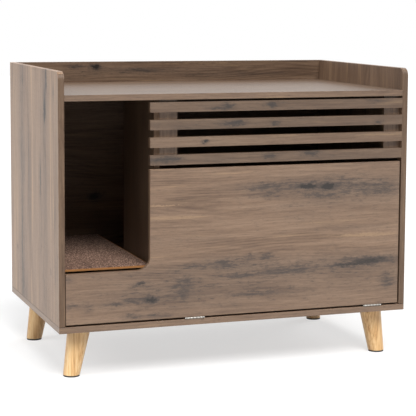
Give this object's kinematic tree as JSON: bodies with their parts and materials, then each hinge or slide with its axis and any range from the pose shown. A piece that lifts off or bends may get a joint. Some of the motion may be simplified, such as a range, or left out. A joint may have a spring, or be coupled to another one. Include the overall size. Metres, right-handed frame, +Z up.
{
  "type": "cat litter box cabinet",
  "caption": "Low rustic oak cabinet on splayed tapered legs: open entrance with a carpeted step on the left, louver and L-shaped drop-down flap door, raised sides and back round the top",
  "frame": {"origin": "on the floor, under the middle of the bounding box", "axes": "+X to the right seen from the front, -Y out of the front, +Z up"},
  "size_m": [0.92, 0.5522, 0.751],
  "materials": {
    "oak_laminate": "satin",
    "fibreboard": "matte",
    "beech": "satin",
    "felt": "matte",
    "rubber": "matte",
    "hinge_steel": "satin",
    "zinc_steel": "satin",
    "magnet": "matte",
    "catch_plastic": "matte"
  },
  "bodies": {
    "cabinet": {"bottom_panel": "oak_laminate", "left_side_panel": "oak_laminate", "right_side_panel": "oak_laminate", "back_panel": "oak_laminate", "top_panel": "oak_laminate", "partition": "oak_laminate", "louver_slat_1": "oak_laminate", "louver_slat_2": "oak_laminate", "louver_slat_3": "oak_laminate", "louver_slat_4": "oak_laminate", "louver_stile_left": "oak_laminate", "louver_stile_right": "oak_laminate", "louver_slat_screws": "zinc_steel", "carpet_batten_left": "oak_laminate", "carpet_batten_partition": "oak_laminate", "carpet_batten_rear": "oak_laminate", "carpet_batten_screws": "zinc_steel", "hinge_left_cabinet_leaf": "hinge_steel", "hinge_right_cabinet_leaf": "hinge_steel", "hinge_pins": "hinge_steel", "hinge_cabinet_screws": "zinc_steel", "magnet_catch_left": "catch_plastic", "magnet_catch_right": "catch_plastic", "catch_magnets": "magnet", "catch_screws": "zinc_steel", "leg_front_left": "beech", "leg_front_right": "beech", "leg_rear_left": "beech", "leg_rear_right": "beech", "foot_pad_front_left": "rubber", "foot_pad_front_right": "rubber", "foot_pad_rear_left": "rubber", "foot_pad_rear_right": "rubber", "leg_hanger_bolts": "zinc_steel", "leg_prong_nuts": "zinc_steel", "cam_discs": "zinc_steel", "cam_bolts": "zinc_steel", "wooden_dowels": "beech", "connector_screws": "zinc_steel"},
    "door": {"flap_door": "oak_laminate", "hinge_left_door_leaf": "hinge_steel", "hinge_right_door_leaf": "hinge_steel", "hinge_door_screws": "zinc_steel", "catch_strike_plates": "hinge_steel", "strike_plate_screws": "zinc_steel"},
    "carpet": {"carpet_board_core": "fibreboard", "carpet_board_felt": "felt"}
  },
  "joints": [
    {"name": "door_flap", "type": "hinge", "parent": "cabinet", "child": "door", "pos_m": [0, -0.27385, 0.1385], "axis": [1, 0, 0], "range_deg": [0, 111]},
    {"name": "carpet_lift", "type": "slide", "parent": "cabinet", "child": "carpet", "axis": [0, 0, 1], "range_m": [0, 0.15]}
  ]
}
